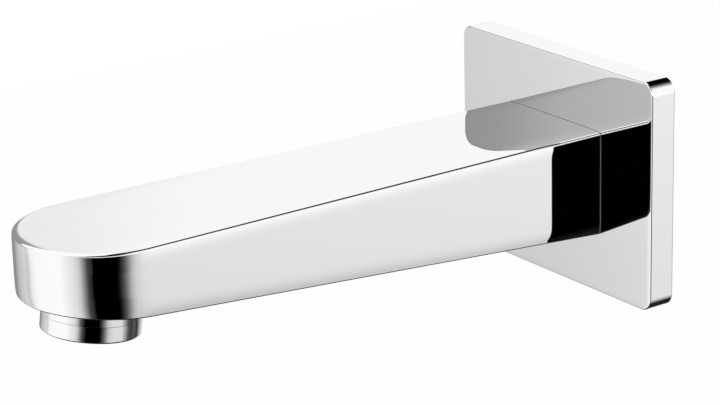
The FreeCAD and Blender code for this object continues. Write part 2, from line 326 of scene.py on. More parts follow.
def stacked_rings(name, points, count, ring_closed=True):
    """Closed piece from rings of points that lie one above another.

    Rings that aren't closed end in one flat face, on which their first and last points lie.
    """
    last = len(points) - count
    faces = [tuple(range(count)), tuple(range(last + count - 1, last - 1, -1))]
    sides = count if ring_closed else count - 1
    for level in range(0, last, count):
        for i in range(sides):
            nxt = (i + 1) % count
            faces.append((level + i, level + nxt, level + count + nxt, level + count + i))
    if not ring_closed:
        starts = list(range(0, len(points), count))
        faces.append(tuple(starts + [start + count - 1 for start in reversed(starts)]))
    return mesh_piece(name, points, faces)


def rod(name, radius, start, end, steps, place=in_place):
    """Closed bar along the Z axis, round or with as many sides as it has steps."""
    turns = [2 * math.pi * i / steps for i in range(steps)]
    points = [place @ Vector((radius * math.cos(turn), radius * math.sin(turn), height))
              for height in (start, end) for turn in turns]
    return stacked_rings(name, points, steps)


def prism(name, outline, start, end):
    """Closed block between two levels of y, from an outline of (x, z) points."""
    points = [Vector((x, y, z)) for y in (start, end) for x, z in outline]
    return stacked_rings(name, points, len(outline))


def arc_points(centre, radius, start, end, steps):
    """Points of an arc in a profile, angles in degrees."""
    turns = [math.radians(start + (end - start) * i / steps) for i in range(steps + 1)]
    return [(centre[0] + radius * math.cos(turn), centre[1] + radius * math.sin(turn)) for turn in turns]


def round_lathe(name, inner, outer, start, end, edge, place=in_place):
    """Turned ring whose four edges are rounded."""
    profile = []
    for quarter, (radius, height) in enumerate(((outer, end), (inner, end), (inner, start), (outer, start))):
        centre = (radius - edge if radius == outer else radius + edge,
                  height - edge if height == end else height + edge)
        profile += arc_points(centre, edge, 90 * quarter, 90 * quarter + 90, small_edge_steps)
    return lathe(name, profile, turned_steps, place)


def rounded_rectangle(half_x, half_z, radius, steps):
    """Outline of (x, z) points with round corners."""
    outline = []
    for quarter, (side_x, side_z) in enumerate(((1, 1), (-1, 1), (-1, -1), (1, -1))):
        centre = (side_x * (half_x - radius), side_z * (half_z - radius))
        outline += arc_points(centre, radius, 90 * quarter, 90 * quarter + 90, steps)
    return outline


def edge_profile(run, drop, crown_run, crown_drop):
    """Offsets from a flat face, over the faint crown that polishing leaves, and round the edge.

    Each is (how far the surface has fallen away, how far it still is from the edge).
    """
    shares = [k / crown_steps for k in range(crown_steps)]
    profile = [(crown_drop * share ** crown_power, drop + crown_run * (1 - share)) for share in shares]
    for step in range(edge_steps + 1):
        turn = math.pi / 2 * step / edge_steps
        profile.append((crown_drop + run * (1 - math.cos(turn)), drop * (1 - math.sin(turn))))
    return profile


def soften_outline(piece, width, steps, chosen):
    """Rounds the edges that turn by half a radian or more and whose points are all chosen by a test."""
    least_turn = 0.5
    work = bmesh.new()
    work.from_mesh(piece.data)
    layer = work.edges.layers.float.new("bevel_weight_edge")
    for edge in work.edges:
        outer = abs(edge.calc_face_angle(0)) > least_turn and all(chosen(point) for point in edge.verts)
        edge[layer] = 1.0 if outer else 0.0
    work.to_mesh(piece.data)
    work.free()
    change = piece.modifiers.new("soften", "BEVEL")
    change.limit_method = "WEIGHT"
    change.width = width
    change.segments = steps
    change.use_clamp_overlap = False
    return bake(piece)


def smooth(piece, crease_degrees=crease):
    """Smooth shading that keeps flat faces flat and corners sharp."""
    piece.data.shade_smooth()
    piece.data.set_sharp_from_angle(angle=math.radians(crease_degrees))
    change = piece.modifiers.new("normals", "WEIGHTED_NORMAL")
    change.keep_sharp = True
    change.weight = 100
    return bake(piece)


def install(piece, material, slot, *nodes):
    """Puts a finished piece into metres, gives it its material and lets it stand for its CAD nodes."""
    piece.data.transform(Matrix.Scale(MM, 4))
    piece.data.materials.clear()
    piece.data.materials.append(material)
    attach(piece, "root")
    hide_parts(*nodes)


# Nodes


def linear(colour):
    """Linear RGBA from an sRGB hex colour."""
    channels = [int(colour[i:i + 2], 16) / 255 for i in (1, 3, 5)]
    return tuple(c / 12.92 if c <= 0.04045 else ((c + 0.055) / 1.055) ** 2.4 for c in channels) + (1.0,)


def add(tree, kind, inputs=(), stops=(), **settings):
    """Adds a node with its settings and fills its inputs, given in order, or by name or number.

    A node stands for its first output, and a list for several sources that one input joins. The stops of
    a colour ramp are (position, hex colour).
    """
    node = tree.nodes.new(kind)
    for name, value in settings.items():
        setattr(node, name, value)
    for socket, value in inputs.items() if isinstance(inputs, dict) else enumerate(inputs):
        for source in value if isinstance(value, list) else [value]:
            if isinstance(source, bpy.types.Node):
                source = source.outputs[0]
            if isinstance(source, bpy.types.NodeSocket):
                tree.links.new(source, node.inputs[socket])
            else:
                node.inputs[socket].default_value = source
    elements = node.color_ramp.elements if stops else ()
    while len(elements) < len(stops):
        elements.new(0.5)
    for element, (position, colour) in zip(elements, stops):
        element.position = position
        element.color = linear(colour)
    return node


# Geometry trees


def geometry_tree(name, sizes):
    """Empty geometry tree and its inputs: the piece, its material and the named sizes."""
    tree = bpy.data.node_groups.new(name, "GeometryNodeTree")
    kinds = {"Piece": "NodeSocketGeometry", "Material": "NodeSocketMaterial"}
    kinds.update({size: "NodeSocketFloat" for size in sizes})
    for socket, kind in kinds.items():
        tree.interface.new_socket(socket, in_out="INPUT", socket_type=kind)
    tree.interface.new_socket("Result", in_out="OUTPUT", socket_type="NodeSocketGeometry")
    return tree, add(tree, "NodeGroupInput").outputs


def end_tree(tree, given, shape):
    """Last nodes of a tree: instances made real, then the material."""
    real = add(tree, "GeometryNodeRealizeInstances", [shape])
    painted = add(tree, "GeometryNodeSetMaterial", {"Geometry": real, "Material": given["Material"]})
    add(tree, "NodeGroupOutput", [painted])
    return tree


def grow(piece, tree, material, sizes):
    """Runs a tree on a piece and keeps the result as a plain mesh."""
    change = piece.modifiers.new("grow", "NODES")
    change.node_group = tree
    values = dict(sizes, Material=material)
    for item in tree.interface.items_tree:
        if item.name in values:
            change[item.identifier] = values[item.name]
    return bake(piece)


def thread_tree(sizes):
    """Right-hand pipe thread: a trapezoid carried along a helix that fades out at both ends."""
    tree, given = geometry_tree("pipe_thread", sizes)
    helix = add(tree, "GeometryNodeCurveSpiral", {
        "Resolution": thread_steps, "Rotations": given["Turns"], "Start Radius": given["Root Radius"],
        "End Radius": given["Root Radius"], "Height": given["Length"], "Reverse": True})
    upright = add(tree, "GeometryNodeSetCurveNormal", {"Curve": helix}, mode="Z_UP")
    along = add(tree, "GeometryNodeSplineParameter")
    rise = add(tree, "ShaderNodeMapRange", [along, 0, thread_fade, thread_least, 1])
    fall = add(tree, "ShaderNodeMapRange", [along, 1 - thread_fade, 1, 1, thread_least])
    fade = add(tree, "ShaderNodeMath", [rise, fall], operation="MINIMUM")
    corners = {}
    for number, (depths, pitches) in enumerate(thread_section, 1):
        outward = add(tree, "ShaderNodeMath", [given["Depth"], depths], operation="MULTIPLY")
        upward = add(tree, "ShaderNodeMath", [given["Pitch"], pitches], operation="MULTIPLY")
        corners["Point %d" % number] = add(tree, "ShaderNodeCombineXYZ", [outward, upward])
    ridge = add(tree, "GeometryNodeCurvePrimitiveQuadrilateral", corners, mode="POINTS")
    wound = add(tree, "GeometryNodeCurveToMesh", {
        "Curve": upright, "Profile Curve": ridge, "Scale": fade, "Fill Caps": True})
    shift = add(tree, "ShaderNodeCombineXYZ", {"Z": given["Start"]})
    moved = add(tree, "GeometryNodeTransform", {"Geometry": wound, "Translation": shift})
    both = add(tree, "GeometryNodeJoinGeometry", {0: [moved, given["Piece"]]})
    return end_tree(tree, given, both)


def screw_tree(sizes):
    """One screw set at the four corners of a rectangle."""
    tree, given = geometry_tree("plate_screws", sizes)
    places = add(tree, "GeometryNodeMeshGrid", {
        "Size X": given["Across"], "Size Y": given["Up"], "Vertices X": 2, "Vertices Y": 2})
    screws = add(tree, "GeometryNodeInstanceOnPoints", {"Points": places, "Instance": given["Piece"]})
    return end_tree(tree, given, screws)


def straight_wires(tree, given):
    """Row of parallel wires, one pitch apart, each with points close enough to bend over the others."""
    span = add(tree, "ShaderNodeMath", [given["Wires"], given["Pitch"]], operation="MULTIPLY")
    high = add(tree, "ShaderNodeMath", [span, 0.5], operation="MULTIPLY")
    low = add(tree, "ShaderNodeMath", [high, -1], operation="MULTIPLY")
    start = add(tree, "ShaderNodeCombineXYZ", {"Y": low})
    end = add(tree, "ShaderNodeCombineXYZ", {"Y": high})
    wire = add(tree, "GeometryNodeCurvePrimitiveLine", {"Start": start, "End": end})
    points = add(tree, "ShaderNodeMath", [given["Wires"], wire_steps_per_cell, 1], operation="MULTIPLY_ADD")
    fine = add(tree, "GeometryNodeResampleCurve", {"Curve": wire, "Count": points})
    count = add(tree, "ShaderNodeMath", [given["Wires"], 1], operation="ADD")
    first = add(tree, "ShaderNodeCombineXYZ", {"X": low})
    step = add(tree, "ShaderNodeCombineXYZ", {"X": given["Pitch"]})
    row = add(tree, "GeometryNodeMeshLine", {"Count": count, "Start Location": first, "Offset": step})
    wires = add(tree, "GeometryNodeInstanceOnPoints", {"Points": row, "Instance": fine})
    return add(tree, "GeometryNodeRealizeInstances", [wires])


def weave_tree(sizes):
    """Woven wire cloth cut to a disc, added to its pressed rim."""
    tree, given = geometry_tree("wire_cloth", sizes)
    wires = straight_wires(tree, given)
    place = add(tree, "GeometryNodeInputPosition")
    axis = add(tree, "ShaderNodeSeparateXYZ", [place]).outputs
    turn = add(tree, "ShaderNodeMath", [math.pi, given["Pitch"]], operation="DIVIDE")
    waves = []
    for letter in ("X", "Y"):
        phase = add(tree, "ShaderNodeMath", [axis[letter], turn], operation="MULTIPLY")
        waves.append(add(tree, "ShaderNodeMath", [phase], operation="COSINE"))
    over_under = add(tree, "ShaderNodeMath", waves, operation="MULTIPLY")
    height = add(tree, "ShaderNodeMath", [over_under, given["Wire Radius"]], operation="MULTIPLY")
    lift = add(tree, "ShaderNodeCombineXYZ", {"Z": height})
    warp = add(tree, "GeometryNodeSetPosition", {"Geometry": wires, "Offset": lift})
    weft = add(tree, "GeometryNodeTransform", {"Geometry": warp, "Rotation": (0, math.pi, math.pi / 2)})
    cloth = add(tree, "GeometryNodeJoinGeometry", {0: [warp, weft]})
    flat = add(tree, "ShaderNodeCombineXYZ", [axis["X"], axis["Y"]])
    distance = add(tree, "ShaderNodeVectorMath", [flat], operation="LENGTH").outputs["Value"]
    beyond = add(tree, "ShaderNodeMath", [distance, given["Reach"]], operation="GREATER_THAN")
    disc = add(tree, "GeometryNodeDeleteGeometry", {"Geometry": cloth, "Selection": beyond})
    section = add(tree, "GeometryNodeCurvePrimitiveCircle", {
        "Resolution": wire_steps, "Radius": given["Wire Radius"]})
    drawn = add(tree, "GeometryNodeCurveToMesh", {"Curve": disc, "Profile Curve": section, "Fill Caps": True})
    shift = add(tree, "ShaderNodeCombineXYZ", {"Z": given["Level"]})
    moved = add(tree, "GeometryNodeTransform", {"Geometry": drawn, "Translation": shift})
    both = add(tree, "GeometryNodeJoinGeometry", {0: [moved, given["Piece"]]})
    return end_tree(tree, given, both)


def honeycomb_tree(sizes):
    """One six-sided cell repeated on a staggered lattice, as far as a circle reaches."""
    tree, given = geometry_tree("honeycomb", sizes)
    across, count = 2 * grid_rings, 2 * grid_rings + 1
    rows = add(tree, "GeometryNodeMeshGrid", {
        "Size X": across, "Size Y": across, "Vertices X": count, "Vertices Y": count})
    place = add(tree, "GeometryNodeInputPosition")
    axis = add(tree, "ShaderNodeSeparateXYZ", [place]).outputs
    column = add(tree, "ShaderNodeMath", [axis["X"], math.sqrt(3) / 2], operation="MULTIPLY")
    staggered = add(tree, "ShaderNodeMath", [axis["X"], 0.5, axis["Y"]], operation="MULTIPLY_ADD")
    spot = add(tree, "ShaderNodeCombineXYZ", [column, staggered])
    scaled = add(tree, "ShaderNodeVectorMath", {"Vector": spot, "Scale": given["Pitch"]}, operation="SCALE")
    lattice = add(tree, "GeometryNodeSetPosition", {"Geometry": rows, "Position": scaled})
    distance = add(tree, "ShaderNodeVectorMath", [place], operation="LENGTH").outputs["Value"]
    near = add(tree, "ShaderNodeMath", [distance, given["Reach"]], operation="LESS_THAN")
    cells = add(tree, "GeometryNodeInstanceOnPoints", {
        "Points": lattice, "Selection": near, "Instance": given["Piece"]})
    return end_tree(tree, given, cells)


# Spout body


def plan_outline(half_root, radius, steps):
    """Half-round nose and straight sides seen from above, from the right root corner to the left one.

    Gives the points, the inward direction at each and how far each faces the tip, from 0 to 1.
    """
    length = front_y - nose_centre_y
    flare = math.asin(radius / math.hypot(half_root, length)) - math.atan2(half_root, length)
    turns = [flare - (math.pi + 2 * flare) * i / steps for i in range(steps + 1)]
    nose = [(radius * math.cos(turn), nose_centre_y + radius * math.sin(turn)) for turn in turns]
    points = [(half_root, front_y)] + nose + [(-half_root, front_y)]
    inward = [(-1, 0)] + [(-math.cos(turn), -math.sin(turn)) for turn in turns] + [(1, 0)]
    towards_tip = [0] + [max(0, -math.sin(turn)) for turn in turns] + [0]
    return points, inward, towards_tip


def lower_rings(outline, inward):
    """Points of the underside's crown and of its edge, from the underside up."""
    points = []
    below = edge_profile(bottom_edge_radius, bottom_edge_radius, bottom_crown_run, bottom_crown_drop)
    for fall, height in reversed(below):
        for (x, y), (dx, dy) in zip(outline, inward):
            y = y + dy * fall
            points.append(Vector((x + dx * fall, y, underside_z(y) + height)))
    return points


def upper_rings(outline, inward, towards_tip):
    """Points of the sides' crown, of the edge, blended wider at the tip, and of the lid's crown."""
    points, above = [], []
    for share in towards_tip:
        run = top_edge_radius + (tip_blend_run - top_edge_radius) * share ** 2
        drop = top_edge_radius + (tip_blend_drop - top_edge_radius) * share ** 2
        profile = edge_profile(run, drop, top_crown_run, top_crown_drop)
        above.append((profile, lid_crown_drop * (1 - share)))
    for level in range(crown_steps + edge_steps + 1):
        for (x, y), (dx, dy), (profile, lid_drop) in zip(outline, inward, above):
            fall, height = profile[level]
            points.append(Vector((x + dx * fall, y + dy * fall, top_z - lid_drop - height)))
    for step in range(1, lid_crown_steps + 1):
        left = 1 - step / lid_crown_steps
        for (x, y), (dx, dy), (profile, lid_drop) in zip(outline, inward, above):
            inset = profile[-1][0] + lid_crown_run * (1 - left)
            height = top_z - lid_drop * left ** crown_power
            points.append(Vector((x + dx * inset, y + dy * inset, height)))
    return points


def body_skin():
    """Outer form: flat top, soft blend round the tip, faintly crowned sides and inclined underside."""
    outline, inward, towards_tip = plan_outline(root_half, nose_radius, nose_steps)
    points = lower_rings(outline, inward) + upper_rings(outline, inward, towards_tip)
    skin = stacked_rings("spout_casting", points, len(outline), ring_closed=False)
    root_face = front_y - 0.001
    return soften_outline(skin, root_edge_radius, root_edge_steps, lambda point: point.co.y > root_face)


def body_hollow():
    """Inside of the casting in front of the solid root block."""
    outline = plan_outline(root_half - side_wall, nose_radius - side_wall, nose_steps // 2)[0]
    half = outline[1][0]
    outline[0], outline[-1] = (half, root_block_end_y), (-half, root_block_end_y)
    lift = bottom_wall * math.hypot(1, underside_slope)
    points = [Vector((x, y, underside_z(y) + lift)) for x, y in outline]
    points += [Vector((x, y, top_z - top_wall)) for x, y in outline]
    return stacked_rings("hollow", points, len(outline))


def boss():
    """Round boss under the nose with a rounded lower edge."""
    centre = (boss_radius - boss_edge_radius, boss_height - boss_edge_radius)
    profile = [(boss_radius, -bottom_wall / 2)]
    profile += arc_points(centre, boss_edge_radius, 0, 90, boss_edge_steps)
    return lathe("boss", profile, boss_steps, outlet_place, closed=False)


def spout_casting():
    """Whole casting: skin, hollow, socket, outlet and screw hole."""
    casting = combine(body_skin(), "DIFFERENCE", [body_hollow()])
    collar_start = -outlet_thread_depth - outlet_seat_thickness
    collar = rod("collar", outlet_collar_radius, collar_start, -bottom_wall / 2, turned_steps, outlet_place)
    register = rod("register", register_radius, -front_y - register_reach, -front_y + register_reach,
                   turned_steps, inlet_place)
    combine(casting, "UNION", [boss(), collar, register])
    bore = rod("bore", outlet_thread_radius, -outlet_thread_depth, boss_height + past,
               turned_steps, outlet_place)
    throat = rod("throat", outlet_throat_radius, collar_start - past, boss_height,
                 turned_steps, outlet_place)
    socket = rod("socket", socket_radius, -front_y - register_reach - past, -socket_end_y,
                 turned_steps, inlet_place)
    waterway = rod("waterway", waterway_radius, -front_y, -root_block_end_y + past,
                   waterway_steps, inlet_place)
    grub_hole = rod("grub_hole", grub_radius, root_bottom_z - past, 0, small_steps,
                    Matrix.Translation((0, grub_y, 0)))
    return combine(casting, "DIFFERENCE", [bore, throat, socket, waterway, grub_hole])


# Wall plate


def plate_skin():
    """Outer form of the plate: faintly crowned front face, round corners, softened edges."""
    front = edge_profile(plate_edge_radius, plate_edge_radius, plate_crown_run, plate_crown_drop)
    back = edge_profile(plate_edge_radius, plate_edge_radius, 0, 0)[crown_steps:]
    levels = [(-fall, inset) for fall, inset in back]
    levels += [(front_y + fall, inset) for fall, inset in reversed(front)]
    points = []
    for y, inset in levels:
        corner = max(plate_corner_radius - inset, plate_least_corner)
        outline = rounded_rectangle(plate_high.x - inset, plate_high.z - inset, corner, plate_corner_steps)
        points += [Vector((x, y, z)) for x, z in outline]
    return stacked_rings("plate_casting", points, len(points) // len(levels))


def plate_pocket(name, inset, floor_y):
    """Cutter for a pocket in the back of the plate, some way in from its outline."""
    outline = rounded_rectangle(plate_high.x - inset, plate_high.z - inset, recess_corner_radius,
                                recess_corner_steps)
    return prism(name, outline, floor_y, past)


def plate_casting():
    """Shallow tray, open towards the wall, with the inlet hole and four screw holes."""
    step = plate_pocket("step", plate_rim, gasket_low.y)
    recess = plate_pocket("recess", plate_rim + gasket_width, plate_floor_y)
    hole = rod("hole", plate_hole_radius, -past, -front_y + past, turned_steps, inlet_place)
    holes = [hole]
    for x in (-screws_across / 2, screws_across / 2):
        for z in (-screws_up / 2, screws_up / 2):
            place = Matrix.Translation((x, 0, z)) @ inlet_place
            holes.append(rod("screw_hole", plate_screw_hole_radius, -past, -front_y + past,
                             screw_hole_steps, place))
    return combine(plate_skin(), "DIFFERENCE", [step, recess] + holes)


# Aerator ring


def aerator_ring():
    """Turned ring with a rounded rim, a lip inside it and a male thread above its shoulder."""
    edge, mouth = ring_edge_radius, ring_mouth_edge
    profile = [(ring_bore_radius, ring_thread_start), (ring_thread_radius, ring_thread_start),
               (ring_thread_radius, ring_start), (ring_radius - boss_edge_radius, ring_start),
               (ring_radius, ring_start + boss_edge_radius)]
    profile += arc_points((ring_radius - edge, ring_end - edge), edge, 0, 90, ring_edge_steps)
    profile += arc_points((ring_mouth_radius + mouth, ring_end - mouth), mouth, 90, 180, small_edge_steps)
    profile += [(ring_mouth_radius, ring_lip_start), (ring_bore_radius, ring_lip_start)]
    return lathe("aerator_ring", profile, ring_steps, outlet_place)


# Wall nipple, plate screws and washer


def nipple_bar():
    """Turned bar before it is cut: thread root, relief and plug with two grooves, bored through."""
    root, bore = pipe_thread_radius - pipe_thread_depth, nipple_bore_radius
    profile = [(bore, pipe_thread_end + bore_mouth_chamfer), (bore + bore_mouth_chamfer, pipe_thread_end),
               (root - thread_chamfer, pipe_thread_end), (root, pipe_thread_end + thread_chamfer),
               (root, 0.0), (relief_radius, 0.0), (relief_radius, hexagon_start),
               (plug_radius, hexagon_start)]
    for station in seal_stations:
        start, end = station - seal_groove_width / 2, station + seal_groove_width / 2
        profile += [(plug_radius, start), (seal_groove_radius, start), (seal_groove_radius, end),
                    (plug_radius, end)]
    profile += [(plug_radius, plug_end - plug_chamfer), (plug_radius - plug_chamfer, plug_end),
                (bore + bore_end_chamfer, plug_end), (bore, plug_end - bore_end_chamfer)]
    return lathe("turned_nipple", profile, turned_steps)


def nipple_hexagon():
    """Hexagon with turned corners, hollow where the bar runs through it."""
    hexagon = rod("hexagon", hexagon_flats / math.sqrt(3), hexagon_start, hexagon_end, 6)
    corner = hexagon_flats / 2 + hexagon_chamfer_start
    outer = corner + hexagon_chamfer_out
    turned = [(corner, hexagon_start), (outer, hexagon_start + hexagon_chamfer_along),
              (outer, hexagon_end - hexagon_chamfer_along), (corner, hexagon_end)]
    combine(hexagon, "INTERSECT", [lathe("turned", turned, turned_steps, closed=False)])
    middle = rod("middle", (nipple_bore_radius + relief_radius) / 2, hexagon_start - past,
                 hexagon_end + past, small_steps)
    return combine(hexagon, "DIFFERENCE", [middle])


def wall_nipple(material):
    """Turned nipple: pipe thread, relief, hexagon, and plug with grooves and a flat for the grub screw."""
    nipple = combine(nipple_bar(), "UNION", [nipple_hexagon()])
    low, high = lock_flat_station - lock_flat_length / 2, lock_flat_station + lock_flat_length / 2
    outline = [(-plug_radius, low), (plug_radius, low), (plug_radius, high), (-plug_radius, high)]
    flat = prism("flat", outline, -2 * plug_radius, lock_flat_depth - plug_radius)
    combine(nipple, "DIFFERENCE", [flat])
    sizes = {"Turns": pipe_thread_turns, "Root Radius": pipe_thread_radius - pipe_thread_depth,
             "Depth": pipe_thread_depth, "Pitch": pipe_thread_pitch,
             "Length": pipe_thread_turns * pipe_thread_pitch, "Start": pipe_thread_end + pipe_thread_lead}
    grow(nipple, thread_tree(sizes), material, sizes)
    nipple.data.transform(inlet_place)
    return nipple


def plate_screws(material):
    """Four low-head cap screws with a six-sided key."""
    edge = screw_edge
    profile = [(screw_head_radius - edge, screw_head_start), (screw_head_radius, screw_head_start + edge),
               (screw_head_radius, screw_seat), (screw_shank_radius, screw_seat),
               (screw_shank_radius, screw_end - edge), (screw_shank_radius - edge, screw_end)]
    screw = lathe("plate_screws", profile, small_steps, closed=False)
    key = rod("key", screw_key / math.sqrt(3), screw_head_start - past, screw_key_end, 6)
    combine(screw, "DIFFERENCE", [key])
    sizes = {"Across": screws_across, "Up": screws_up}
    grow(screw, screw_tree(sizes), material, sizes)
    screw.data.transform(inlet_place)
    return screw


def face_washer():
    """Flat washer between the hexagon and the wall fitting, with softly rounded edges."""
    return round_lathe("flat_washer", pipe_thread_radius + face_washer_clearance, face_washer_radius,
                       0.0, hexagon_start, face_washer_edge, inlet_place)


# Inside of the aerator


def wire_screen(name, start, turn, material):
    """Round of woven wire in a pressed rim, turned by some degrees about the outlet."""
    rim_radius = insert_radius - screen_rim
    screen = round_lathe(name, rim_radius, insert_radius, start, start + screen_thickness, screen_edge)
    sizes = {"Wires": screen_wires, "Pitch": screen_pitch, "Wire Radius": screen_wire / 2,
             "Reach": rim_radius + screen_hold, "Level": start + screen_thickness / 2}
    grow(screen, weave_tree(sizes), material, sizes)
    screen.data.transform(outlet_place @ Matrix.Rotation(math.radians(turn), 4, "Z"))
    return screen


def outlet_grid(material):
    """Moulded honeycomb with flared cells, resting on the lip of the ring."""
    cell_radius = (grid_pitch - grid_web) / math.sqrt(3)
    mouth = cell_radius + grid_flare + just_past
    profile = [(mouth, grid_start - just_past), (cell_radius, grid_start + grid_flare),
               (cell_radius, grid_end - grid_flare), (mouth, grid_end + just_past)]
    cells = lathe("cells", profile, 6, closed=False)
    sizes = {"Pitch": grid_pitch, "Reach": grid_reach - cell_radius}
    grow(cells, honeycomb_tree(sizes), material, sizes)
    outline = [(insert_radius - grid_edge, grid_start), (insert_radius, grid_start + grid_edge),
               (insert_radius, grid_end - grid_edge), (insert_radius - grid_edge, grid_end)]
    grid = lathe("moulded_grid", outline, turned_steps, closed=False)
    combine(grid, "DIFFERENCE", [cells])
    grid.data.transform(outlet_place)
    return grid


# Camera and studio


def place_camera():
    """Camera of the photograph: long lens from the front right, a little above the spout.

    Place in millimetres and angles in degrees were fitted to the outlines in the photograph.
    """
    place = Vector((556.77, -462.22, 232.36)) * MM
    yaw, pitch, roll = math.radians(55.1326), math.radians(18.6672), math.radians(-1.515)
    ahead = Vector((-math.sin(yaw) * math.cos(pitch), math.cos(yaw) * math.cos(pitch), -math.sin(pitch)))
    level = Vector((math.cos(yaw), math.sin(yaw), 0))
    upright = level.cross(ahead)
    right = math.cos(roll) * level + math.sin(roll) * upright
    up = math.cos(roll) * upright - math.sin(roll) * level
    turn = Matrix((right, up, -ahead)).transposed().to_4x4()
    camera_data = bpy.data.cameras.new("camera")
    camera_data.sensor_width = 36
    camera_data.lens = 135
    camera_data.clip_start = 0.01
    camera_data.clip_end = 50
    camera = bpy.data.objects.new("camera", camera_data)
    camera.matrix_world = Matrix.Translation(place) @ turn
    bpy.context.scene.collection.objects.link(camera)
    bpy.context.scene.camera = camera


def bearings(*greys):
    """Stops of a ramp that runs once round the horizon, from pairs of degrees (-180 to 180) and colour."""
    return [(degrees / 360 + 0.5, colour) for degrees, colour in greys]


def window(tree, angle, start, full, leave, end):
    """1 between two bearings in degrees, fading to 0 on both sides."""
    rise = add(tree, "ShaderNodeMapRange", [angle, math.radians(start), math.radians(full), 0, 1])
    fall = add(tree, "ShaderNodeMapRange", [angle, math.radians(leave), math.radians(end), 1, 0])
    return add(tree, "ShaderNodeMath", [rise, fall], operation="MULTIPLY")


def tinted(tree, colour, where, strength):
    """A colour of the tent made lighter or darker inside a window."""
    changed = add(tree, "ShaderNodeVectorMath", [colour, strength], operation="MULTIPLY")
    return add(tree, "ShaderNodeMix", {0: where, 6: colour, 7: changed}, data_type="RGBA").outputs[2]


def blend_heights(tree, height, start, full, lower, upper):
    """Goes from one part of the tent to the next between two heights of the view direction."""
    share = add(tree, "ShaderNodeMapRange", [height, start, full, 0, 1])
    return add(tree, "ShaderNodeMix", {0: share, 6: lower, 7: upper}, data_type="RGBA").outputs[2]


def low_wall(tree, share, angle, height):
    """Lower wall: white and grey cards, black on the camera's side, shaded towards the ground."""
    cards = add(tree, "ShaderNodeValToRGB", [share], stops=bearings(
        (-180, "#9C9C9C"), (-165, "#C4C4C4"), (-150, "#D4D4D4"), (-143.5, "#C8C8C8"), (-141, "#D0D0D0"),
        (-139, "#DADADA"), (-137, "#E8E8E8"), (-127, "#FCFCFC"), (-88, "#FFFFFF"), (-67, "#E0E0E0"),
        (-61, "#C8C8C8"), (-56, "#909090"), (-51, "#484848"), (-46, "#303030"), (-43.2, "#0A0A0A"),
        (-42.2, "#000000"), (-13, "#000000"), (-9.5, "#1C1C1C"), (-4.5, "#4C4C4C"), (0.5, "#808080"),
        (6, "#B8B8B8"), (11, "#D0D0D0"), (22, "#E2E2E2"), (43, "#E8E8E8"), (49, "#B8B8B8"),
        (61, "#585858"), (72, "#3A3A3A"), (84, "#585858"), (97, "#303030"), (116, "#BEBEBE"),
        (135, "#E6E6E6"), (150, "#909090")))
    side = window(tree, angle, 5, 25, 47, 60)
    shade = add(tree, "ShaderNodeMapRange", [height, -0.53, -0.16, 0.66, 1.28])
    front = window(tree, angle, -150, -147, -133, -128)
    tint = add(tree, "ShaderNodeMapRange", [height, -0.345, -0.275, 1.0, 1.1])
    return tinted(tree, tinted(tree, cards, side, shade), front, tint)


def studio_world():
    """Photographer's tent: white walls, grey card in front, black cards low and overhead."""
    world = bpy.data.worlds.new("studio")
    world.use_nodes = True
    tree = world.node_tree
    tree.nodes.clear()
    direction = add(tree, "ShaderNodeTexCoord").outputs["Generated"]
    axis = add(tree, "ShaderNodeSeparateXYZ", [direction]).outputs
    angle = add(tree, "ShaderNodeMath", [axis["Y"], axis["X"]], operation="ARCTAN2")
    share = add(tree, "ShaderNodeMapRange", [angle, -math.pi, math.pi, 0, 1])
    high_wall = add(tree, "ShaderNodeValToRGB", [share], stops=bearings(
        (-180, "#909090"), (-143, "#949494"), (-142.2, "#989898"), (-141.3, "#A6A6A6"),
        (-140.5, "#B4B4B4"), (-138.5, "#BEBEBE"), (-132, "#C0C0C0"), (-126, "#FFFFFF"),
        (125, "#FFFFFF"), (136, "#FBFBFB"), (148.5, "#FAFAFA"), (150.2, "#F6F6F6"),
        (151.6, "#EEEEEE"), (156, "#ECECEC"), (158, "#969696")))
    roof = add(tree, "ShaderNodeValToRGB", [share], stops=bearings(
        (-180, "#FFFFFF"), (-100, "#FFFFFF"), (-60, "#080808"), (-5, "#080808"), (15, "#FFFFFF"),
        (48, "#FFFFFF"), (64, "#808080"), (82, "#1C1C1C"), (94, "#060606"), (138, "#060606"),
        (145, "#FFFFFF")))
    zenith = add(tree, "ShaderNodeValToRGB", [share], stops=bearings(
        (-180, "#FFFFFF"), (-110, "#FFFFFF"), (-80, "#080808"), (138, "#080808"), (145, "#FFFFFF")))
    tent = blend_heights(tree, axis["Z"], -0.1, 0.05, low_wall(tree, share, angle, axis["Z"]), high_wall)
    tent = blend_heights(tree, axis["Z"], 0.49, 0.53, tent, roof)
    tent = blend_heights(tree, axis["Z"], 0.83, 0.87, tent, zenith)
    tent = blend_heights(tree, axis["Z"], -0.6, -0.7, tent, linear("#222222"))
    # The camera sees plain white behind the spout, and its chrome reflects the tent.
    seen = add(tree, "ShaderNodeLightPath").outputs["Is Camera Ray"]
    shown = add(tree, "ShaderNodeMix", {0: seen, 6: tent, 7: linear("#FFFFFF")}, data_type="RGBA")
    background = add(tree, "ShaderNodeBackground", {"Color": shown.outputs[2], "Strength": 1})
    add(tree, "ShaderNodeOutputWorld", [background])
    bpy.context.scene.world = world


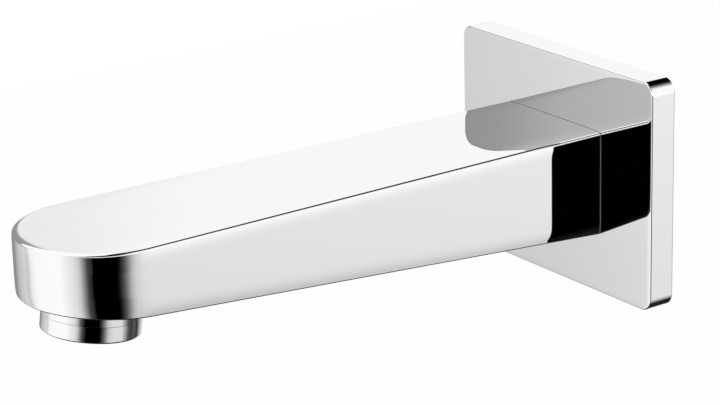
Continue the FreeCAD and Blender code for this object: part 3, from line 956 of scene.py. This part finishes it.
def floor():
    """Plain pale floor of matt white board, in metres, far below so that its shadow is faint."""
    half, depth, glow_share = 4.0, 1.2, 0.98
    level = cad_box[0].z - depth
    mesh = bpy.data.meshes.new("floor")
    corners = [(-half, -half, level), (half, -half, level), (half, half, level), (-half, half, level)]
    mesh.from_pydata(corners, [], [(0, 1, 2, 3)])
    piece = bpy.data.objects.new("floor", mesh)
    bpy.context.scene.collection.objects.link(piece)
    material, tree = new_material("matt_white_board")
    seen = add(tree, "ShaderNodeLightPath").outputs["Is Camera Ray"]
    share = add(tree, "ShaderNodeMath", [seen, glow_share], operation="MULTIPLY")
    matt = add(tree, "ShaderNodeBsdfDiffuse", {"Color": linear("#F8F8F8")})
    glow = add(tree, "ShaderNodeEmission", {"Strength": 1})
    both = add(tree, "ShaderNodeMixShader", [share, matt, glow])
    add(tree, "ShaderNodeOutputMaterial", {"Surface": both})
    mesh.materials.append(material)
    piece.visible_glossy = False


# Materials


def new_material(name):
    """Empty node material and its tree."""
    material = bpy.data.materials.new(name)
    material.use_nodes = True
    material.node_tree.nodes.clear()
    return material, material.node_tree


def scale_for(size):
    """Texture scale at which the features of a pattern have a real size in millimetres."""
    return 1 / (size * MM)


def tray_mask(tree, axis):
    """1 on the unpolished floor and sides of the plate's tray, 0 on every polished face."""
    start, full, blur = (plate_floor_y - 0.3) * MM, (plate_floor_y - 0.1) * MM, 0.1 * MM
    tray = add(tree, "ShaderNodeMapRange", [axis["Y"], start, full, 0, 1])
    for letter, half in (("X", plate_high.x), ("Z", plate_high.z)):
        limit = (half - plate_rim) * MM
        far = add(tree, "ShaderNodeMath", [axis[letter]], operation="ABSOLUTE")
        near = add(tree, "ShaderNodeMapRange", [far, limit - blur, limit + blur, 1, 0])
        tray = add(tree, "ShaderNodeMath", [tray, near], operation="MULTIPLY")
    return tray


def bright_chrome():
    """Bright chromium plate: a near-perfect mirror outside, dull as cast in the tray behind the plate."""
    material, tree = new_material("bright_chrome_plate")
    place = add(tree, "ShaderNodeTexCoord").outputs["Object"]
    tray = tray_mask(tree, add(tree, "ShaderNodeSeparateXYZ", [place]).outputs)
    # Buffing wheels leave patches of haze about 11 mm across.
    haze = add(tree, "ShaderNodeTexNoise", {"Vector": place, "Scale": scale_for(11), "Detail": 3})
    polished = add(tree, "ShaderNodeMapRange", [haze, 0, 1, 0.012, 0.03])
    # Grains of moulding sand are about 0.2 mm; drawn at 0.4 mm so that they show.
    sand = add(tree, "ShaderNodeTexNoise", {"Vector": place, "Scale": scale_for(0.4), "Detail": 4})
    cast = add(tree, "ShaderNodeMapRange", [sand, 0.3, 0.7, 0.34, 0.5])
    rough = add(tree, "ShaderNodeMix", {0: tray, 2: polished, 3: cast}, data_type="FLOAT")
    relief = add(tree, "ShaderNodeBump", {"Height": sand, "Strength": tray, "Distance": 0.06 * MM})
    # Where two pieces meet, ambient occlusion turns the base colour near black: painted shade in the gap
    # between them.
    gap_occlusion = add(tree, "ShaderNodeAmbientOcclusion", {"Distance": 0.5 * MM}).outputs["AO"]
    plating_and_painted_gap_shade = add(tree, "ShaderNodeValToRGB", [gap_occlusion], stops=[(0.35, "#141414"), (0.6, "#FBFBFB")])
    colour = add(tree, "ShaderNodeMix", {0: tray, 6: plating_and_painted_gap_shade, 7: linear("#B4B5B3")}, data_type="RGBA")
    surface = add(tree, "ShaderNodeBsdfPrincipled", {
        "Base Color": colour.outputs[2], "Metallic": 1, "Roughness": rough, "Normal": relief})
    add(tree, "ShaderNodeOutputMaterial", {"Surface": surface})
    return material


def turned_brass():
    """Free-cutting brass straight from the lathe: warm yellow metal with fine tool rings."""
    material, tree = new_material("turned_brass_bar")
    place = add(tree, "ShaderNodeTexCoord").outputs["Object"]
    # A finishing cut leaves rings 0.1 mm apart; drawn at 0.2 mm so that they show, 16 mm long.
    stretch = (scale_for(16), scale_for(0.2), scale_for(16))
    stretched = add(tree, "ShaderNodeMapping", {"Vector": place, "Scale": stretch})
    rings = add(tree, "ShaderNodeTexNoise", {"Vector": stretched, "Scale": 1, "Detail": 2})
    rough = add(tree, "ShaderNodeMapRange", [rings, 0.3, 0.7, 0.2, 0.36])
    relief = add(tree, "ShaderNodeBump", {"Height": rings, "Distance": 0.02 * MM})
    # Handling darkens brass in patches of about 7 mm.
    tarnish = add(tree, "ShaderNodeTexNoise", {"Vector": place, "Scale": scale_for(7), "Detail": 4})
    colour = add(tree, "ShaderNodeValToRGB", [tarnish], stops=[
        (0.3, "#CFAA63"), (0.6, "#E3C17A"), (0.8, "#E9CC8B")])
    surface = add(tree, "ShaderNodeBsdfPrincipled", {
        "Base Color": colour, "Metallic": 1, "Roughness": rough, "Normal": relief})
    add(tree, "ShaderNodeOutputMaterial", {"Surface": surface})
    return material


def stainless_steel():
    """Bright-drawn stainless steel: grey metal with a soft, slightly uneven sheen."""
    material, tree = new_material("bright_drawn_stainless_steel")
    place = add(tree, "ShaderNodeTexCoord").outputs["Object"]
    # The die leaves marks 0.1 mm wide; drawn at 1.1 mm so that they show on small heads and wires.
    grain = add(tree, "ShaderNodeTexNoise", {"Vector": place, "Scale": scale_for(1.1), "Detail": 3})
    colour = add(tree, "ShaderNodeValToRGB", [grain], stops=[(0.35, "#B4B4B1"), (0.65, "#C6C6C3")])
    rough = add(tree, "ShaderNodeMapRange", [grain, 0.3, 0.7, 0.2, 0.34])
    surface = add(tree, "ShaderNodeBsdfPrincipled", {
        "Base Color": colour, "Metallic": 1, "Roughness": rough})
    add(tree, "ShaderNodeOutputMaterial", {"Surface": surface})
    return material


def foam_rubber():
    """Closed-cell EPDM sponge, cut from sheet: matt near-black with open cell walls on the cut faces."""
    material, tree = new_material("closed_cell_epdm_sponge")
    place = add(tree, "ShaderNodeTexCoord").outputs["Object"]
    # The cells of such sponge are about 0.4 mm across.
    cells = add(tree, "ShaderNodeTexVoronoi", {"Vector": place, "Scale": scale_for(0.4)})
    colour = add(tree, "ShaderNodeValToRGB", [cells], stops=[(0.1, "#101011"), (0.6, "#1E1E20")])
    relief = add(tree, "ShaderNodeBump", {"Height": cells, "Distance": 0.12 * MM})
    surface = add(tree, "ShaderNodeBsdfPrincipled", {
        "Base Color": colour, "Roughness": 0.88, "Normal": relief})
    add(tree, "ShaderNodeOutputMaterial", {"Surface": surface})
    return material


def sealing_rubber():
    """Moulded EPDM: smooth dark rubber with a faint dusty bloom."""
    material, tree = new_material("moulded_epdm_rubber")
    place = add(tree, "ShaderNodeTexCoord").outputs["Object"]
    # Wax comes to the surface in patches of about 3 mm.
    bloom = add(tree, "ShaderNodeTexNoise", {"Vector": place, "Scale": scale_for(3), "Detail": 5})
    colour = add(tree, "ShaderNodeValToRGB", [bloom], stops=[(0.35, "#121213"), (0.75, "#232324")])
    rough = add(tree, "ShaderNodeMapRange", [bloom, 0.3, 0.7, 0.5, 0.68])
    surface = add(tree, "ShaderNodeBsdfPrincipled", {"Base Color": colour, "Roughness": rough})
    add(tree, "ShaderNodeOutputMaterial", {"Surface": surface})
    return material


def acetal_plastic():
    """Injection-moulded acetal: milky white, slightly waxy, with a very fine moulded texture."""
    material, tree = new_material("moulded_acetal")
    place = add(tree, "ShaderNodeTexCoord").outputs["Object"]
    # A spark-finished mould has pits of about 0.05 mm; drawn at 0.5 mm so that they show.
    pits = add(tree, "ShaderNodeTexNoise", {"Vector": place, "Scale": scale_for(0.5), "Detail": 2})
    colour = add(tree, "ShaderNodeValToRGB", [pits], stops=[(0.35, "#DCDCD8"), (0.65, "#E6E6E2")])
    rough = add(tree, "ShaderNodeMapRange", [pits, 0.3, 0.7, 0.3, 0.42])
    relief = add(tree, "ShaderNodeBump", {"Height": pits, "Distance": 0.01 * MM})
    surface = add(tree, "ShaderNodeBsdfPrincipled", {
        "Base Color": colour, "Roughness": rough, "IOR": 1.48, "Normal": relief,
        "Subsurface Weight": 0.15, "Subsurface Radius": (1.0 * MM, 1.0 * MM, 0.9 * MM)})
    add(tree, "ShaderNodeOutputMaterial", {"Surface": surface})
    return material


def paint_nodes(material, *nodes):
    """Gives CAD nodes that show as they are their material."""
    for node in nodes:
        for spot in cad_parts[node].material_slots:
            spot.material = material


place_camera()
studio_world()
floor()
bpy.context.scene.view_settings.view_transform = "Standard"

chrome = bright_chrome()
brass = turned_brass()
steel = stainless_steel()
rubber = sealing_rubber()
acetal = acetal_plastic()

install(smooth(spout_casting()), chrome, "bright_chrome", "spout_body")
install(smooth(plate_casting()), chrome, "bright_chrome", "wall_plate")
install(smooth(aerator_ring()), chrome, "bright_chrome", "aerator_housing")
install(smooth(wall_nipple(brass)), brass, "turned_brass", "wall_nipple")
install(smooth(plate_screws(steel)), steel, "stainless_steel",
        "plate_screw_1", "plate_screw_2", "plate_screw_3", "plate_screw_4")
upper_screen = wire_screen("upper_wire_screen", upper_screen_start, 0, steel)
lower_screen = wire_screen("lower_wire_screen", upper_screen_start + screen_thickness, 45, steel)
install(smooth(upper_screen, wire_crease), steel, "stainless_steel", "upper_screen")
install(smooth(lower_screen, wire_crease), steel, "stainless_steel", "lower_screen")
install(smooth(outlet_grid(acetal)), acetal, "acetal_plastic", "outlet_grid")
install(smooth(face_washer()), rubber, "sealing_rubber", "face_washer")

paint_nodes(foam_rubber(), "plate_gasket")
paint_nodes(steel, "grub_screw")
paint_nodes(rubber, "nipple_seal_1", "nipple_seal_2", "aerator_washer")
paint_nodes(acetal, "inlet_strainer", "jet_disc", "mixing_chamber")
